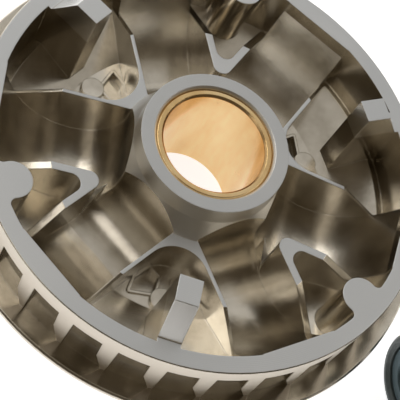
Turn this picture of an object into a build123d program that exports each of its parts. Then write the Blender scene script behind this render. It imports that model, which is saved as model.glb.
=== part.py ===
"""CVT pulley set for a mid-size scooter, opened and laid out on a flat surface. Units: mm, +Z up.

Origin: centre of the bush bore, on the surface the set lies on (the hub's belt-side end).
Angles are measured round the movable face's axis from +X.
"""
import os
from math import cos, hypot, radians, sin, tan

from build123d import *

os.makedirs("parts", exist_ok=True)

# ---------------------------------------------------------------- driving dimensions
BELT_ANGLE = 13.6          # slope of the belt face
FLANGE_R = 63.3            # movable face, outer edge
RIM_R = 58.0               # outside of the rim wall
RING_R = 53.7              # inside of the rim wall
RIM_TOP = 26.8
RIM_CHAMFER = 0.25
FLANGE_T = 1.4             # edge of the sheave outside the rim wall
HUB_TOP = 31.0
HUB_R = 19.0               # hub at its machined end
CONE_TOP_Z = 25.8          # below this height the hub flares
CONE_FOOT_R = 29.5
HUB_FOOT_R = 22.0          # where the belt face starts
PLATE_T = 3.0              # wall between the belt face and the pockets
ISLAND_TOP = 20.0          # machined tops of the islands
ISLAND_KINK_R = 38.7       # outside this radius the wall tops slope down
ISLAND_RIM_Z = 10.9        # height of the wall tops where they reach the rim

CHANNEL_HALF = 10.0        # half width of a roller channel
CHANNEL_SKEW = 24.4        # angle between a channel and its V island
CHANNEL_START = 19.4       # flat cut into the hub
CHANNEL_END = 52.6         # flat inside the rim
NEST_R = 12.0
NEST_X = CHANNEL_START + NEST_R
NEST_FLOOR = 4.6
RAMP_END_Z = 22.9

V_ANGLES = (90, 210, 330)
T_ANGLES = (30, 150, 270)
V_TIP_R = 2.5
V_WALL = 1.9
T_WALL = 0.9
T_ROUND = 8.4
T_FLOOR = 8.6              # floor of a guide pocket, level as far out as its pad
T_FLOOR_RIM = 13.0         # and its height at the rim

PAD_AT = 34.4
PAD_R = 3.0
PAD_H = 0.5
RECESS_LIP = 0.8
RECESS_DEPTH = 2.2
TAB_W = 5.8
TAB_IN_R = 40.2
TAB_OUT_R = 46.8
TAB_TOP = 36.0
LUG_R = 4.8
LUG_NOSE_R = 46.4
LUG_FILLET = 1.5

RIB_COUNT = 30
RIB_FIRST = 6.0
RIB_TOP_Z = 22.2
RIB_BEND_Z = 15.5
RIB_W = 4.2
RIB_TIP_W = 0.8
RIB_DEPTH = 1.9
RIB_ROOT = 2.6             # how far in the ribs start, below the rim's outside

BUSH_BORE_R = 13.1
BUSH_R = 15.2
BUSH_LEN = 30.35

BOSS_R = 13.05
BOSS_LEN = 48.0
BOSS_BORE_R = 8.0

ROLLER_R = 11.5
ROLLER_W = 18.0
SLEEVE_T = 2.6
CORE_HOLE_R = 5.2
CORE_SINK = 1.2            # how far the steel core sits below the sleeve's ends
ROLLER_REST = 31.5         # a roller's distance from the ramp plate's axis, at rest
ROLLER_GAP = 0.3           # running gap under a roller
LOOSE_AT = (73.0, -32.7)   # one roller lies loose between the two faces
LOOSE_TURN = 22.0

PLATE_AT = (142.0, -5.0)   # ramp plate, beside the movable face
PLATE_R = 50.0
PLATE_HUB_R = 18.5
PLATE_SLOPE = 15.0
PLATE_SHEET = 3.2
PLATE_SEAT_Z = 5.2         # cam surface at the hub
PLATE_HUB_TOP = 8.5
FENCE_FROM = 9.4           # fences stand this far from a channel's middle
FENCE_T = 1.6
FENCE_H = 3.0
NOTCH_W = 11.5
SLIDE_IN_R = 40.5
SLIDE_W = 13.5
SLIDE_H = 14.0
SLIDE_SLOT_W = 6.1

DRIVE_AT = (88.0, -130.0)  # drive face
DRIVE_R = 64.0
DRIVE_T = 3.4
DRIVE_HUB_R = 17.0
DRIVE_HUB_Z = 19.0
BLADE_COUNT = 12
BLADE_TOP = 25.0
BLADE_T = 2.2
INSERT_R = 11.0
INSERT_LEN = 20.0
SPLINE_R = 8.6
SPLINE_DEPTH = 0.9
SPLINE_TEETH = 20

CRANK_R = 7.0              # crankshaft thread end that the nut fits
WASHER_R = 14.0
WASHER_T = 2.5
NUT_FLANGE_R = 12.8
NUT_ACROSS = 22.0
NUT_H = 12.0
NUT_TOP = INSERT_LEN + WASHER_T + NUT_H


def belt_z(r):
    """Height of the belt face above the surface at radius r."""
    return (r - HUB_FOOT_R) * tan(radians(BELT_ANGLE))


def floor_z(r):
    return belt_z(r) + PLATE_T


def channel_angles():
    """Direction of each roller channel: one either side of every V island."""
    return [v + side * CHANNEL_SKEW for v in V_ANGLES for side in (-1, 1)]


def wedge(apex, half_angle, reach, tip_radius):
    """Outline pointing at the axis: straight sides from a rounded tip out to the radius reach."""
    rise = (reach - apex) * tan(radians(half_angle))
    with BuildSketch() as outline:
        with BuildLine():
            Polyline((apex, 0), (reach, -rise), (reach, rise), close=True)
        make_face()
        fillet(outline.vertices().sort_by(Axis.X)[0], tip_radius)
    return outline.sketch


def recess_pair(margin):
    """Two five-sided outlines, one either side of a guide pocket's middle, grown by a margin."""
    with BuildSketch() as outline:
        Polygon((26.8, -4.6), (28.4, -1.9), (33.2, -2.2), (34.2, -8.2), (30.5, -7.6), align=None)
        if margin:
            offset(amount=margin)
        mirror(about=Plane.XZ)
    return outline.sketch


# ---------------------------------------------------------------- movable face
V_APEX = CHANNEL_HALF / sin(radians(CHANNEL_SKEW))
T_HALF_ANGLE = 60 - CHANNEL_SKEW
T_APEX = CHANNEL_HALF / sin(radians(T_HALF_ANGLE))

with BuildPart() as v_pockets:                     # hollows between the arms of the V islands
    with BuildSketch():
        with PolarLocations(0, 3, start_angle=V_ANGLES[0]):
            add(wedge(V_APEX + V_WALL / sin(radians(CHANNEL_SKEW)), CHANNEL_SKEW, 60, 2.6))
    extrude(amount=50)
    with BuildSketch(Plane.XZ):
        Polygon((20, floor_z(20)), (RING_R, floor_z(RING_R)), (RING_R, 45), (20, 45), align=None)
    revolve(axis=Axis.Z, mode=Mode.INTERSECT)

with BuildPart() as t_pockets:                     # hollows that hold the guide tabs
    with BuildSketch():
        with PolarLocations(0, 3, start_angle=T_ANGLES[0]):
            add(wedge(T_APEX + T_WALL / sin(radians(T_HALF_ANGLE)), T_HALF_ANGLE, 60, T_ROUND))
    extrude(amount=50)
    with BuildSketch(Plane.XZ):
        Polygon((15, T_FLOOR), (PAD_AT + PAD_R, T_FLOOR), (RING_R, T_FLOOR_RIM), (RING_R, 45), (15, 45),
                align=None)
    revolve(axis=Axis.Z, mode=Mode.INTERSECT)


with BuildPart() as ribs:                          # tapered ribs round the outside of the rim
    for k in range(RIB_COUNT):
        outward = Plane.XZ.rotated((0, 0, RIB_FIRST + 90 + k * 360 / RIB_COUNT)).offset(RIM_R - RIB_ROOT)
        with BuildSketch(outward):
            Polygon((-RIB_W / 2, RIB_TOP_Z + 0.3), (-RIB_W / 2 + 0.5, RIB_BEND_Z),
                    (RIB_W / 2 - RIB_TIP_W, belt_z(RIM_R) + 1), (RIB_W / 2, belt_z(RIM_R) + 1),
                    (RIB_W / 2, RIB_TOP_Z + 0.3), align=None)
        extrude(amount=RIB_ROOT + 1)
    with BuildSketch():
        Circle(RIM_R)
    extrude(amount=RIM_TOP, mode=Mode.INTERSECT)


def ramp_line():
    """Floor of a roller channel, from the hub flat down round the nest and up the ramp."""
    nest_low = (NEST_X, NEST_FLOOR)
    nest_side = (CHANNEL_START, NEST_FLOOR + NEST_R)
    Line((CHANNEL_START, 34), nest_side)
    RadiusArc(nest_side, nest_low, -NEST_R)
    Spline(nest_low, (39.5, 6.6), (46.5, 12.4), (CHANNEL_END, RAMP_END_Z),
           tangents=((1, 0), (0.46, 0.89)))


with BuildPart() as movable_face:
    with BuildSketch(Plane.XZ):                    # hub, belt face, rim
        Polygon(
            (BUSH_R, 0), (HUB_FOOT_R, 0), (FLANGE_R, belt_z(FLANGE_R)),
            (FLANGE_R, belt_z(FLANGE_R) + FLANGE_T - 0.5), (FLANGE_R - 0.5, belt_z(FLANGE_R) + FLANGE_T),
            (RIM_R - 0.8, belt_z(RIM_R) + FLANGE_T), (RIM_R - RIB_DEPTH, RIB_BEND_Z),
            (RIM_R - RIB_DEPTH, RIB_TOP_Z - 2.6), (RIM_R - 0.6, RIB_TOP_Z - 0.7), (RIM_R, RIB_TOP_Z),
            (RIM_R, RIM_TOP - RIM_CHAMFER), (RIM_R - RIM_CHAMFER, RIM_TOP), (RING_R, RIM_TOP),
            (RING_R, floor_z(RING_R)), (CONE_FOOT_R, floor_z(CONE_FOOT_R)), (HUB_R + 0.3, CONE_TOP_Z),
            (HUB_R, HUB_TOP), (BUSH_R + 0.5, HUB_TOP), (BUSH_R, HUB_TOP - 0.6), align=None)
    revolve(axis=Axis.Z)

    with BuildSketch(Plane.XY.offset(4.0)):        # solid islands between the channels
        with PolarLocations(0, 3, start_angle=V_ANGLES[0]):
            add(wedge(V_APEX, CHANNEL_SKEW, 60, V_TIP_R))
        with PolarLocations(0, 3, start_angle=T_ANGLES[0]):
            add(wedge(T_APEX, T_HALF_ANGLE, 60, 0.5))
        Circle(RING_R + 1, mode=Mode.INTERSECT)
    extrude(amount=ISLAND_TOP - 4.0)
    with BuildSketch(Plane.XZ):                    # wall tops slope down towards the rim
        Polygon((ISLAND_KINK_R, ISLAND_TOP), (RING_R, ISLAND_RIM_Z), (RING_R, 30), (ISLAND_KINK_R, 30),
                align=None)
    revolve(axis=Axis.Z, mode=Mode.SUBTRACT)
    with BuildSketch(Plane.XZ):                    # trim what the islands left below the belt face
        Polygon((HUB_FOOT_R, 0), (HUB_FOOT_R, -8), (80, -8), (80, belt_z(80)), align=None)
    revolve(axis=Axis.Z, mode=Mode.SUBTRACT)
    add(v_pockets.part, mode=Mode.SUBTRACT)
    add(t_pockets.part, mode=Mode.SUBTRACT)

    for angle in channel_angles():                 # ramps: solid under the channel floor
        radial = Plane.XZ.rotated((0, 0, angle))
        with BuildSketch(radial):
            Polygon((CHANNEL_START - 1, 2), (24, belt_z(24) + 1.5), (RING_R + 0.6, belt_z(RING_R) + 2.0),
                    (RING_R + 0.6, RIM_TOP), (CHANNEL_END, RIM_TOP), (CHANNEL_END, RAMP_END_Z + 1),
                    (44, 13), (24, 12), (CHANNEL_START, NEST_FLOOR + NEST_R),
                    (CHANNEL_START - 1, NEST_FLOOR + NEST_R), align=None)
        extrude(amount=CHANNEL_HALF, both=True)
    for angle in channel_angles():
        radial = Plane.XZ.rotated((0, 0, angle))
        with BuildSketch(radial):
            with BuildLine():
                ramp_line()
                Polyline((CHANNEL_END, RAMP_END_Z), (CHANNEL_END, 34), (CHANNEL_START, 34))
            make_face()
        extrude(amount=CHANNEL_HALF, both=True, mode=Mode.SUBTRACT)

    with BuildSketch(Plane.XY.offset(8)) as lugs:  # round-nosed lugs on the rim, blended into it
        Circle(RING_R + 1)
        Circle(RING_R, mode=Mode.SUBTRACT)
        with PolarLocations(LUG_NOSE_R + LUG_R, 3, start_angle=V_ANGLES[0]):
            Circle(LUG_R)
        fillet(lugs.vertices().filter_by(lambda corner: hypot(corner.X, corner.Y) < RING_R + 0.1), LUG_FILLET)
    extrude(amount=RIM_TOP - 8)
    for angle in T_ANGLES:                         # guide tabs
        with BuildSketch(Plane.XZ.rotated((0, 0, angle))):
            Polygon((TAB_IN_R, 6.5), (TAB_IN_R, TAB_TOP), (TAB_OUT_R, TAB_TOP), (CHANNEL_END, RIM_TOP),
                    (RING_R + 0.6, RIM_TOP), (RING_R + 0.6, 10), align=None)
        extrude(amount=TAB_W / 2, both=True)
    with BuildSketch(Plane.XY.offset(T_FLOOR - 0.5)):      # round pads on the pocket floors
        with PolarLocations(PAD_AT, 3, start_angle=T_ANGLES[0]):
            Circle(PAD_R)
    extrude(amount=0.5 + PAD_H)
    with BuildSketch(Plane.XY.offset(T_FLOOR)):            # low lips round the recesses beside each pad
        with PolarLocations(0, 3, start_angle=T_ANGLES[0]):
            add(recess_pair(RECESS_LIP))
    extrude(amount=PAD_H)
    with BuildSketch(Plane.XY.offset(T_FLOOR + PAD_H)):    # and the recesses
        with PolarLocations(0, 3, start_angle=T_ANGLES[0]):
            add(recess_pair(0))
    extrude(amount=-RECESS_DEPTH, mode=Mode.SUBTRACT)
    add(ribs.part)
movable_face.part.label = "movable_face"
export_step(movable_face.part, "parts/movable_face.step")

# ---------------------------------------------------------------- bush pressed into the hub
with BuildPart() as bush:
    with BuildSketch(Plane.XZ):
        with Locations(((BUSH_BORE_R + BUSH_R) / 2, BUSH_LEN / 2)):
            Rectangle(BUSH_R - BUSH_BORE_R, BUSH_LEN)
    revolve(axis=Axis.Z)
    chamfer(bush.edges().filter_by(GeomType.CIRCLE).group_by(Axis.Z)[-1], 0.55)
bush.part.label = "bush"
export_step(bush.part, "parts/bush.step")


# ---------------------------------------------------------------- roller weights
def plate_z(r):
    """Height of the ramp plate's cam surface at radius r from its own axis."""
    return PLATE_SEAT_Z + (r - PLATE_HUB_R) * tan(radians(PLATE_SLOPE))


def roller_on_plate(angle):
    """Plane at a roller's centre, its normal along the roller, in the plate's channel at this angle."""
    height = plate_z(ROLLER_REST) + (ROLLER_R + ROLLER_GAP) / cos(radians(PLATE_SLOPE))
    out = Vector(cos(radians(angle)), sin(radians(angle)), 0)
    return Plane(Vector(*PLATE_AT, height) + out * ROLLER_REST, x_dir=out, z_dir=out.cross(Vector(0, 0, 1)))


loose_axis = Vector(cos(radians(LOOSE_TURN)), sin(radians(LOOSE_TURN)), 0)
roller_planes = [roller_on_plate(angle) for angle in channel_angles()[1:]]
roller_planes.append(Plane((*LOOSE_AT, ROLLER_R), x_dir=(0, 0, 1), z_dir=loose_axis))

for number, plane in enumerate(roller_planes, start=1):
    with BuildPart() as sleeve:
        with BuildSketch(plane):
            Circle(ROLLER_R)
            Circle(ROLLER_R - SLEEVE_T, mode=Mode.SUBTRACT)
        extrude(amount=ROLLER_W / 2, both=True)
        chamfer(sleeve.edges().filter_by(GeomType.CIRCLE), 0.9)
    sleeve.part.label = f"roller_{number}_sleeve"
    export_step(sleeve.part, f"parts/roller_{number}_sleeve.step")

    with BuildPart() as core:
        with BuildSketch(plane):
            Circle(ROLLER_R - SLEEVE_T)
            Circle(CORE_HOLE_R, mode=Mode.SUBTRACT)
        extrude(amount=ROLLER_W / 2 - CORE_SINK, both=True)
        chamfer(core.edges().filter_by(GeomType.CIRCLE), 0.5)
    core.part.label = f"roller_{number}_core"
    export_step(core.part, f"parts/roller_{number}_core.step")

# ---------------------------------------------------------------- ramp plate, cam side up
plate_front = Plane((*PLATE_AT, 0), x_dir=(1, 0, 0), z_dir=(0, -1, 0))
plate_axis = Axis((*PLATE_AT, 0), (0, 0, 1))


def plate_radial(angle):
    out = Vector(cos(radians(angle)), sin(radians(angle)), 0)
    return Plane((*PLATE_AT, 0), x_dir=out, z_dir=out.cross(Vector(0, 0, 1)))


with BuildPart() as ramp_plate:
    under = PLATE_SHEET / cos(radians(PLATE_SLOPE))
    with BuildSketch(plate_front):
        Polygon((BOSS_BORE_R, 0), (PLATE_HUB_R, 0), (PLATE_HUB_R, plate_z(PLATE_HUB_R) - under),
                (PLATE_R, plate_z(PLATE_R) - under), (PLATE_R, plate_z(PLATE_R)),
                (PLATE_HUB_R, plate_z(PLATE_HUB_R)), (PLATE_HUB_R - 2, PLATE_HUB_TOP),
                (BOSS_BORE_R, PLATE_HUB_TOP), align=None)
    revolve(axis=plate_axis)
    for index, angle in enumerate(channel_angles()):       # low fences beside each roller
        v_side = -1 if index % 2 else 1
        for side in (-1, 1):
            start = 28.0 if side == v_side else 22.0
            near = FENCE_FROM if side < 0 else -FENCE_FROM - FENCE_T
            with BuildSketch(plate_radial(angle).offset(near)):
                Polygon((start, plate_z(start) - 1), (PLATE_R - 1, plate_z(PLATE_R - 1) - 1),
                        (PLATE_R - 1, plate_z(PLATE_R - 1) + FENCE_H - 0.8),
                        (start + 2, plate_z(start + 2) + FENCE_H), align=None)
            extrude(amount=FENCE_T)
    for angle in T_ANGLES:                                  # notches that the slide pieces clip into
        with BuildSketch(plate_radial(angle)):
            Polygon((SLIDE_IN_R - 0.05, -5), (PLATE_R + 5, -5), (PLATE_R + 5, 40), (SLIDE_IN_R - 0.05, 40),
                    align=None)
        extrude(amount=NOTCH_W / 2, both=True, mode=Mode.SUBTRACT)
ramp_plate.part.label = "ramp_plate"
export_step(ramp_plate.part, "parts/ramp_plate.step")

# ---------------------------------------------------------------- slide pieces on the plate
for number, angle in enumerate(T_ANGLES, start=1):
    middle = plate_z(45) - under / 2
    with BuildPart() as slide_piece:
        with BuildSketch(plate_radial(angle)):
            Polygon((SLIDE_IN_R, middle - SLIDE_H / 2), (PLATE_R + 1, middle - SLIDE_H / 2),
                    (PLATE_R + 1, middle + SLIDE_H / 2), (SLIDE_IN_R, middle + SLIDE_H / 2), align=None)
        extrude(amount=SLIDE_W / 2, both=True)
        fillet(slide_piece.edges().filter_by(Axis.Z).group_by(SortBy.DISTANCE)[0], 2.0)
        with BuildSketch(plate_radial(angle)):              # slot that rides on a tab of the face
            Polygon((SLIDE_IN_R + 2.6, -20), (PLATE_R + 5, -20), (PLATE_R + 5, 60),
                    (SLIDE_IN_R + 2.6, 60), align=None)
        extrude(amount=SLIDE_SLOT_W / 2, both=True, mode=Mode.SUBTRACT)
        for side in (-1, 1):                                # grooves that grip the edges of the notch
            near = NOTCH_W / 2 - 0.1 if side < 0 else -SLIDE_W
            with BuildSketch(plate_radial(angle).offset(near)):
                Polygon((SLIDE_IN_R - 5, plate_z(SLIDE_IN_R - 5) - under - 0.05),
                        (PLATE_R + 5, plate_z(PLATE_R + 5) - under - 0.05),
                        (PLATE_R + 5, plate_z(PLATE_R + 5) + 0.05),
                        (SLIDE_IN_R - 5, plate_z(SLIDE_IN_R - 5) + 0.05), align=None)
            extrude(amount=SLIDE_W - NOTCH_W / 2 + 0.1, mode=Mode.SUBTRACT)
    slide_piece.part.label = f"slide_piece_{number}"
    export_step(slide_piece.part, f"parts/slide_piece_{number}.step")

# ---------------------------------------------------------------- boss, standing on the ramp plate
with BuildPart() as boss:
    with BuildSketch(Plane((*PLATE_AT, PLATE_HUB_TOP))):
        Circle(BOSS_R)
        Circle(BOSS_BORE_R, mode=Mode.SUBTRACT)
    extrude(amount=BOSS_LEN)
    chamfer(boss.edges().filter_by(GeomType.CIRCLE), 0.8)
boss.part.label = "boss"
export_step(boss.part, "parts/boss.step")

# ---------------------------------------------------------------- drive face, fan side up
drive_front = Plane((*DRIVE_AT, 0), x_dir=(1, 0, 0), z_dir=(0, -1, 0))
drive_axis = Axis((*DRIVE_AT, 0), (0, 0, 1))


def drive_top(r):
    return belt_z(r) + DRIVE_T


with BuildSketch() as blade:                       # one curved fan blade, seen from above
    with BuildLine():
        ThreePointArc((30, 0), (46, 6), (61, 16))
    trace(line_width=BLADE_T)

with BuildPart() as drive_face:
    with BuildSketch(drive_front):
        Polygon((INSERT_R, 0), (HUB_FOOT_R, 0), (DRIVE_R, belt_z(DRIVE_R)), (DRIVE_R, belt_z(DRIVE_R) + 1),
                (DRIVE_R - 0.8, belt_z(DRIVE_R) + 1.8), (60, drive_top(60)), (26, drive_top(26)),
                (21, drive_top(26) + 3), (DRIVE_HUB_R, DRIVE_HUB_Z - 1), (DRIVE_HUB_R - 1, DRIVE_HUB_Z),
                (INSERT_R, DRIVE_HUB_Z), align=None)
    revolve(axis=drive_axis)
    with BuildSketch(Plane((*DRIVE_AT, 4.0))):
        with PolarLocations(0, BLADE_COUNT):
            add(blade.sketch)
    extrude(amount=BLADE_TOP - 4.0)
    with BuildSketch(drive_front):                 # blades rise from the hub to full height, and stay
        Polygon((26, 14), (40, BLADE_TOP), (40, 40), (20, 40), (20, 14), align=None)
    revolve(axis=drive_axis, mode=Mode.SUBTRACT)
    with BuildSketch(drive_front):                 # inside the disc's edge, above the belt face
        Polygon((HUB_FOOT_R, 0), (80, belt_z(80)), (80, -8), (HUB_FOOT_R, -8), align=None)
    revolve(axis=drive_axis, mode=Mode.SUBTRACT)
drive_face.part.label = "drive_face"
export_step(drive_face.part, "parts/drive_face.step")

with BuildPart() as spline_insert:
    with BuildSketch(Plane((*DRIVE_AT, 0))):
        Circle(INSERT_R)
        Circle(SPLINE_R - SPLINE_DEPTH, mode=Mode.SUBTRACT)
        with PolarLocations(SPLINE_R - SPLINE_DEPTH / 2, SPLINE_TEETH):
            Rectangle(SPLINE_DEPTH * 1.6, 1.3, mode=Mode.SUBTRACT)
    extrude(amount=INSERT_LEN)
spline_insert.part.label = "spline_insert"
export_step(spline_insert.part, "parts/spline_insert.step")

with BuildPart() as washer:
    with BuildSketch(Plane((*DRIVE_AT, INSERT_LEN))):
        Circle(WASHER_R)
        Circle(CRANK_R + 0.3, mode=Mode.SUBTRACT)
    extrude(amount=WASHER_T)
    chamfer(washer.edges().filter_by(GeomType.CIRCLE), 0.3)
washer.part.label = "washer"
export_step(washer.part, "parts/washer.step")

with BuildPart() as nut:
    with BuildSketch(Plane((*DRIVE_AT, INSERT_LEN + WASHER_T))):
        Circle(NUT_FLANGE_R)
    extrude(amount=1.8)
    with BuildSketch(Plane((*DRIVE_AT, INSERT_LEN + WASHER_T + 1.8))):
        RegularPolygon(NUT_ACROSS / 2, 6, major_radius=False)
    extrude(amount=NUT_H - 1.8)
    with BuildSketch(drive_front):                 # rounded-off corners at the top of the hexagon
        Polygon((NUT_ACROSS / 2, NUT_TOP), (NUT_ACROSS, NUT_TOP - 5), (NUT_ACROSS, NUT_TOP + 1),
                (NUT_ACROSS / 2, NUT_TOP + 1), align=None)
    revolve(axis=drive_axis, mode=Mode.SUBTRACT)
    with BuildSketch(Plane((*DRIVE_AT, INSERT_LEN))):
        Circle(CRANK_R)
    extrude(amount=40, mode=Mode.SUBTRACT)
nut.part.label = "nut"
export_step(nut.part, "parts/nut.step")
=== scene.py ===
"""Looks for the CVT pulley set: materials, the guide pockets' cast pads, floor, light and camera. Metres."""
from math import cos, pi, radians, sin

import bpy
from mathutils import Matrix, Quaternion, Vector

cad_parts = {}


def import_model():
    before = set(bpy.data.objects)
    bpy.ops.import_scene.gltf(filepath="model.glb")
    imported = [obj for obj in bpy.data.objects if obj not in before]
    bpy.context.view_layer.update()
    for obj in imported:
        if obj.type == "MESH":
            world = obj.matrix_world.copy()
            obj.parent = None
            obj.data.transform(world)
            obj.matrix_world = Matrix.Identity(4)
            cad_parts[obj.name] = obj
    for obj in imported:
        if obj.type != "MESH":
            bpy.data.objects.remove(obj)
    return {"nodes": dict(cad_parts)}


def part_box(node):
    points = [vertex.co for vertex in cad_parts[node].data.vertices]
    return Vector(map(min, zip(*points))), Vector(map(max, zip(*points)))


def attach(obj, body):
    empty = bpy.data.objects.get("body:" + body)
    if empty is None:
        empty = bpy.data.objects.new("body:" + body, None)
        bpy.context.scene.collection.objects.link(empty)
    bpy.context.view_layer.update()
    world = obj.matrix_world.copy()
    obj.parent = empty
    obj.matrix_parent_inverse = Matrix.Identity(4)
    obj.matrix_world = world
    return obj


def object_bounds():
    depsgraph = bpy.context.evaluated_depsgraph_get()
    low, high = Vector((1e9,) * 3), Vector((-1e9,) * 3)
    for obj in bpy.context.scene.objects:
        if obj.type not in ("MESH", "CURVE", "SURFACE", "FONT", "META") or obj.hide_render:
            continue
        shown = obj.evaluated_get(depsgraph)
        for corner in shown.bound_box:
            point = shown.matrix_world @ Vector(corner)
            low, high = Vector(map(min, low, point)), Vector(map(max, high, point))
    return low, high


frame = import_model()
cad_low, cad_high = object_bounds()

MM = 0.001
LENS = 135.1
CAMERA_DISTANCE = 355.9 * MM
CAMERA_AZIMUTH = -111.15       # where the camera stands, round the face's axis from +X
CAMERA_ELEVATION = 57.2
CAMERA_ROLL = 36.8
AIM = Vector((-0.9 * MM, -17.1 * MM, 31.0 * MM))

HUB_RADIUS = 19.45 * MM        # just outside the hub's upright part
HUB_FROM = 25.5 * MM           # and the height where that starts
HUB_FLARE = 0.486              # how far the hub's skirt widens per metre of drop
HUB_CONE = 31.84 * MM          # radius the skirt's line would reach at the surface
HUB_CONE_FACING = 0.437        # how far the skirt faces up
BELT_BELOW = 9.8 * MM          # a face that looks down below this height is a belt face
TAB_FROM = 27.2 * MM           # above the rim, only the guide tabs stand outside TAB_RADIUS
TAB_RADIUS = 35.0 * MM
MOVABLE_BAND = 57.8 * MM       # radius from which an upright wall is turned
DRIVE_BAND = 63.8 * MM
FACED_AREA = 60e-6             # least area, in square metres, of a lathe-faced level
SATIN_HUB = (0.78, 0.76, 0.72, 1)
SMOOTH_TAB = (0.84, 0.835, 0.82, 1)
TURNED_BAND = (0.70, 0.645, 0.57, 1)

GUIDE_ANGLES = (30, 150, 270)
PAD_FROM_AXIS = 34.4 * MM
PAD_RADIUS = 3.0 * MM
PAD_BASE = 9.0 * MM            # height of the pad's middle
PAD_DEPTH = 1.4 * MM

BRIGHT_AZIMUTH = 95
BRIGHT_ELEVATION = 20
ROOM = (
    (0.40, (0.085, 0.068, 0.046)),
    (0.56, (0.150, 0.126, 0.094)),
    (0.68, (0.400, 0.375, 0.335)),
    (0.87, (0.600, 0.590, 0.570)),
    (1.00, (0.900, 0.890, 0.870)),
)


def towards(azimuth, elevation):
    """Unit vector that points away from the object, at an azimuth from +X and an elevation in degrees."""
    a, e = radians(azimuth), radians(elevation)
    return Vector((cos(a) * cos(e), sin(a) * cos(e), sin(e)))


def set_stops(ramp, stops):
    while len(ramp.elements) < len(stops):
        ramp.elements.new(0.5)
    for element, (position, colour) in zip(ramp.elements, stops):
        element.position = position
        element.color = (*colour, 1)


# ---------------------------------------------------------------- node helpers
class Nodes:
    """Short ways to add and join shader nodes in one material."""

    def __init__(self, name):
        self.material = bpy.data.materials.new(name)
        self.material.use_nodes = True
        self.tree = self.material.node_tree
        self.shader = self.tree.nodes["Principled BSDF"]
        self.coords = self.tree.nodes.new("ShaderNodeTexCoord")

    def add(self, kind, **settings):
        node = self.tree.nodes.new(kind)
        for key, value in settings.items():
            setattr(node, key, value)
        return node

    def feed(self, socket, value):
        if isinstance(value, bpy.types.NodeSocket):
            self.tree.links.new(value, socket)
        else:
            socket.default_value = value

    def math(self, operation, a, b=0.0, c=0.0):
        node = self.add("ShaderNodeMath", operation=operation)
        for socket, value in zip(node.inputs, (a, b, c)):
            self.feed(socket, value)
        return node.outputs[0]

    def mix(self, factor, a, b):
        node = self.add("ShaderNodeMix", data_type="RGBA")
        self.feed(node.inputs["Factor"], factor)
        self.feed(node.inputs[6], a)
        self.feed(node.inputs[7], b)
        return node.outputs[2]

    def noise(self, scale, detail=3.0, rough=0.5, stretch=None):
        node = self.add("ShaderNodeTexNoise")
        vector = self.coords.outputs["Object"]
        if stretch:
            mapping = self.add("ShaderNodeMapping")
            mapping.inputs["Scale"].default_value = stretch
            self.feed(mapping.inputs["Vector"], vector)
            vector = mapping.outputs[0]
        self.feed(node.inputs["Vector"], vector)
        node.inputs["Scale"].default_value = scale
        node.inputs["Detail"].default_value = detail
        node.inputs["Roughness"].default_value = rough
        return node.outputs[0]

    def ramp(self, value, *stops):
        node = self.add("ShaderNodeValToRGB")
        set_stops(node.color_ramp, stops)
        self.feed(node.inputs[0], value)
        return node.outputs[0]

    def place(self, centre=(0.0, 0.0)):
        """Height and radius from an upright axis, and how far the surface faces up."""
        split = self.add("ShaderNodeSeparateXYZ")
        self.feed(split.inputs[0], self.coords.outputs["Object"])
        x = self.math("SUBTRACT", split.outputs[0], centre[0])
        y = self.math("SUBTRACT", split.outputs[1], centre[1])
        radius = self.math("SQRT", self.math("ADD", self.math("MULTIPLY", x, x), self.math("MULTIPLY", y, y)))
        normal = self.add("ShaderNodeSeparateXYZ")
        self.feed(normal.inputs[0], self.coords.outputs["Normal"])
        return split.outputs[2], radius, normal.outputs[2]

    def near(self, value, target, width):
        """1 where value is within width of target."""
        return self.math("LESS_THAN", self.math("ABSOLUTE", self.math("SUBTRACT", value, target)), width)

    def bump(self, height, distance, strength=1.0, soften=0.0):
        node = self.add("ShaderNodeBump")
        node.inputs["Distance"].default_value = distance
        node.inputs["Strength"].default_value = strength
        self.feed(node.inputs["Height"], height)
        if soften:
            bevel = self.add("ShaderNodeBevel", samples=6)
            bevel.inputs["Radius"].default_value = soften
            self.feed(node.inputs["Normal"], bevel.outputs[0])
        self.feed(self.shader.inputs["Normal"], node.outputs[0])

    def finish(self, colour, roughness, metallic=1.0):
        self.feed(self.shader.inputs["Base Color"], colour)
        self.feed(self.shader.inputs["Roughness"], roughness)
        self.shader.inputs["Metallic"].default_value = metallic
        return self.material


def flat_levels(node_name, least_area):
    """Heights of a node's large faces that look straight up: the ones a lathe has faced."""
    mesh = frame["nodes"][node_name].data
    areas = {}
    for face in mesh.polygons:
        if face.normal.z > 0.999:
            level = round(face.center.z, 4)
            areas[level] = areas.get(level, 0.0) + face.area
    return [level for level, area in sorted(areas.items()) if area > least_area]


def centre_of(node_name):
    low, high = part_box(node_name)
    return (low + high) / 2


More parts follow.
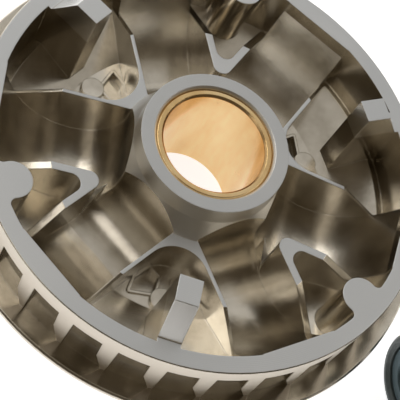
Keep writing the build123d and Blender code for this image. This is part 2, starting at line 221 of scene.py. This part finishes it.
# ---------------------------------------------------------------- materials
def cast_nickel(node_name, colours, faced, centre, band_from):
    """Bright nickel-plated casting with matt lathe-faced ends, a turned belt face and a turned outer band."""
    n = Nodes(node_name + "_casting")
    height, radius, facing = n.place(centre)
    cloud = n.noise(60, 4, 0.55)
    fine = n.noise(900, 3, 0.6)
    streak = n.noise(150, 3, 0.5, stretch=(1.0, 1.0, 0.12))
    tint = n.math("MULTIPLY_ADD", streak, 0.5, n.math("MULTIPLY", cloud, 0.5))
    cast = n.ramp(tint, (0.34, colours[0]), (0.50, colours[1]), (0.68, colours[2]))
    machined = 0.0
    for level in faced:
        machined = n.math("MAXIMUM", machined, n.near(height, level, 0.00012))
    machined = n.math("MULTIPLY", machined, n.math("GREATER_THAN", facing, 0.98))
    grey = n.ramp(n.noise(35, 2, 0.5), (0.3, (0.575, 0.585, 0.59)), (0.7, (0.625, 0.63, 0.63)))
    belt = n.math("MULTIPLY", n.math("LESS_THAN", facing, -0.9), n.math("LESS_THAN", height, BELT_BELOW))
    turned = n.math("MAXIMUM", machined, belt)
    band = n.math("MULTIPLY", n.math("GREATER_THAN", radius, band_from), n.near(facing, 0.0, 0.3))
    tab = n.math("MULTIPLY", n.math("GREATER_THAN", height, TAB_FROM),
                 n.math("GREATER_THAN", radius, TAB_RADIUS))
    cone = n.near(n.math("MULTIPLY_ADD", height, HUB_FLARE, radius), HUB_CONE, 0.0002)
    cone = n.math("MULTIPLY", cone, n.near(facing, HUB_CONE_FACING, 0.05))
    hub = n.math("MULTIPLY", n.math("LESS_THAN", radius, HUB_RADIUS),
                 n.math("GREATER_THAN", height, HUB_FROM))
    satin = n.math("MAXIMUM", cone, hub)
    smooth = n.mix(satin, n.mix(tab, cast, SMOOTH_TAB), SATIN_HUB)
    colour = n.mix(band, n.mix(turned, smooth, grey), TURNED_BAND)
    cast_rough = n.math("MULTIPLY_ADD", tint, 0.22, 0.11)
    cast_rough = n.math("MULTIPLY_ADD", satin, 0.20, cast_rough)
    rough = n.math("ADD", n.math("MULTIPLY", n.math("MAXIMUM", turned, band), 0.24), cast_rough)
    rings = n.math("SINE", n.math("MULTIPLY", radius, 2 * pi / 0.00045))
    fine = n.math("MULTIPLY", fine, n.math("SUBTRACT", 1.0, tab))
    relief = n.math("ADD", n.math("MULTIPLY", n.math("MULTIPLY", rings, turned), 0.30), fine)
    n.bump(relief, 0.00004, 0.35, soften=0.00035)
    return n.finish(colour, rough)


def bronze():
    n = Nodes("bush_bronze")
    streak = n.noise(90, 4, 0.6, stretch=(1.0, 1.0, 0.25))
    tone = n.ramp(streak, (0.25, (0.62, 0.40, 0.17)), (0.5, (0.76, 0.53, 0.26)), (0.78, (0.88, 0.69, 0.40)))
    rough = n.math("MULTIPLY_ADD", n.noise(300, 3, 0.6), 0.18, 0.14)
    n.bump(n.noise(700, 3, 0.6, stretch=(1.0, 1.0, 0.1)), 0.00003, 0.4, soften=0.0003)
    return n.finish(tone, rough)


def turned_steel(name, dark, light, centre, rough_base, pitch=0.0005, soften=0.0003):
    """Machined steel with fine rings round an upright axis."""
    n = Nodes(name)
    height, radius, _ = n.place(centre)
    cloud = n.noise(70, 4, 0.55)
    tone = n.ramp(cloud, (0.3, dark), (0.7, light))
    rings = n.math("SINE", n.math("MULTIPLY", n.math("ADD", radius, height), 2 * pi / pitch))
    relief = n.math("ADD", n.math("MULTIPLY", rings, 0.35), n.noise(800, 3, 0.6))
    n.bump(relief, 0.00004, 0.35, soften=soften)
    return n.finish(tone, n.math("MULTIPLY_ADD", cloud, 0.22, rough_base))


def moulded(name, dark, light, rough_base):
    """Moulded nylon with a fine grain and paler rubbed patches."""
    n = Nodes(name)
    tone = n.ramp(n.noise(120, 5, 0.6), (0.30, dark), (0.72, light))
    rough = n.math("MULTIPLY_ADD", n.noise(500, 3, 0.6), 0.2, rough_base)
    n.bump(n.noise(1600, 4, 0.7), 0.00005, 0.5, soften=0.00035)
    return n.finish(tone, rough, metallic=0.0)


def dress(node_name, material):
    slots = frame["nodes"][node_name].material_slots
    for slot in slots:
        slot.material = material
    if not slots:
        frame["nodes"][node_name].data.materials.append(material)


NICKEL = ((0.46, 0.42, 0.35), (0.60, 0.555, 0.475), (0.74, 0.695, 0.61))
ALLOY = ((0.50, 0.495, 0.48), (0.62, 0.615, 0.60), (0.72, 0.715, 0.70))

movable_faced = flat_levels("movable_face", FACED_AREA)[-4:]
dress("movable_face", cast_nickel("movable_face", NICKEL, movable_faced, (0, 0), MOVABLE_BAND))
drive_centre = centre_of("drive_face")
drive_faced = flat_levels("drive_face", FACED_AREA)
dress("drive_face", cast_nickel("drive_face", ALLOY, drive_faced, drive_centre[:2], DRIVE_BAND))
dress("bush", bronze())
plate_centre = centre_of("boss")
dress("ramp_plate",
      turned_steel("ramp_plate_steel", (0.42, 0.40, 0.37), (0.62, 0.60, 0.56), plate_centre[:2], 0.22))
dress("boss", turned_steel("boss_steel", (0.52, 0.52, 0.52), (0.70, 0.70, 0.69), plate_centre[:2], 0.14))
dress("spline_insert",
      turned_steel("insert_steel", (0.30, 0.30, 0.30), (0.46, 0.45, 0.44), drive_centre[:2], 0.25))
dress("washer", turned_steel("washer_zinc", (0.60, 0.57, 0.46), (0.74, 0.71, 0.60), drive_centre[:2], 0.22))
dress("nut", turned_steel("nut_zinc", (0.58, 0.55, 0.44), (0.74, 0.71, 0.60), drive_centre[:2], 0.24))
nylon = moulded("roller_nylon", (0.050, 0.062, 0.062), (0.085, 0.105, 0.105), 0.34)
plastic = moulded("slide_plastic", (0.016, 0.016, 0.017), (0.045, 0.045, 0.047), 0.40)
core_steel = turned_steel("core_steel", (0.04, 0.06, 0.066), (0.09, 0.12, 0.13), (0, 0), 0.34)
for name in frame["nodes"]:
    if name.endswith("_sleeve"):
        dress(name, nylon)
    elif name.endswith("_core"):
        dress(name, core_steel)
    elif name.startswith("slide_piece"):
        dress(name, plastic)


# ---------------------------------------------------------------- cast detail
def guide_pads():
    """The half-round cast pad on each guide pocket's floor."""
    middle = centre_of("movable_face")
    for number, angle in enumerate(GUIDE_ANGLES, start=1):
        spot = Vector((middle.x, middle.y, PAD_BASE)) + towards(angle, 0) * PAD_FROM_AXIS
        bpy.ops.mesh.primitive_cylinder_add(radius=PAD_RADIUS, depth=PAD_DEPTH, vertices=64, location=spot)
        pad = bpy.context.object
        pad.name = f"guide_pad_{number}"
        pad.data.materials.append(frame["nodes"]["movable_face"].material_slots[0].material)
        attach(pad, "movable_face")


guide_pads()


# ---------------------------------------------------------------- stage
def floor():
    bpy.ops.mesh.primitive_plane_add(size=6)
    plane = bpy.context.object
    plane.name = "floor"
    plane.location.z = cad_low.z - 0.0001
    n = Nodes("floor_white")
    n.shader.inputs["Base Color"].default_value = (0.9, 0.9, 0.9, 1)
    n.shader.inputs["Roughness"].default_value = 0.9
    n.shader.inputs["Emission Color"].default_value = (1, 1, 1, 1)
    n.shader.inputs["Emission Strength"].default_value = 0.80
    plane.data.materials.append(n.material)


def softbox(name, azimuth, elevation, distance, size, watts, colour=(1, 1, 1)):
    """An area light aimed at the middle of the movable face."""
    data = bpy.data.lights.new(name, "AREA")
    data.shape = "RECTANGLE"
    data.size, data.size_y = size
    data.energy = watts
    data.color = colour
    light = bpy.data.objects.new(name, data)
    bpy.context.collection.objects.link(light)
    back = towards(azimuth, elevation)
    light.location = AIM + back * distance
    light.rotation_mode = "QUATERNION"
    light.rotation_quaternion = (-back).to_track_quat("-Z", "Y")


def world():
    """A dim warm room that brightens towards one side, and plain white where the camera sees it."""
    w = bpy.data.worlds.new("studio")
    bpy.context.scene.world = w
    w.use_nodes = True
    tree = w.node_tree
    new, link = tree.nodes.new, tree.links.new
    background = tree.nodes["Background"]
    side = new("ShaderNodeVectorMath")
    side.operation = "DOT_PRODUCT"
    side.inputs[1].default_value = towards(BRIGHT_AZIMUTH, BRIGHT_ELEVATION)
    link(new("ShaderNodeTexCoord").outputs["Generated"], side.inputs[0])
    spread = new("ShaderNodeMapRange")
    spread.inputs["From Min"].default_value = -1.0
    link(side.outputs["Value"], spread.inputs["Value"])
    ramp = new("ShaderNodeValToRGB")
    link(spread.outputs[0], ramp.inputs[0])
    set_stops(ramp.color_ramp, ROOM)
    mix = new("ShaderNodeMix")
    mix.data_type = "RGBA"
    link(new("ShaderNodeLightPath").outputs["Is Camera Ray"], mix.inputs["Factor"])
    link(ramp.outputs[0], mix.inputs[6])
    mix.inputs[7].default_value = (1, 1, 1, 1)
    link(mix.outputs[2], background.inputs["Color"])


def camera():
    data = bpy.data.cameras.new("camera")
    data.lens = LENS
    data.sensor_width = 36.0
    data.clip_start = 0.01
    cam = bpy.data.objects.new("camera", data)
    bpy.context.collection.objects.link(cam)
    back = towards(CAMERA_AZIMUTH, CAMERA_ELEVATION)
    cam.location = AIM + back * CAMERA_DISTANCE
    cam.rotation_mode = "QUATERNION"
    level = (-back).to_track_quat("-Z", "Y")
    cam.rotation_quaternion = level @ Quaternion((0, 0, 1), radians(CAMERA_ROLL))
    bpy.context.scene.camera = cam


floor()
world()
softbox("left", -155, 48, 0.9, (0.45, 0.40), 0.8, (1.0, 0.97, 0.93))
softbox("back", 150, 40, 0.9, (0.60, 0.40), 1.7, (1.0, 0.98, 0.95))
softbox("right", 12, 32, 0.9, (0.40, 0.35), 0.7)
camera()
bpy.context.scene.view_settings.view_transform = "Standard"
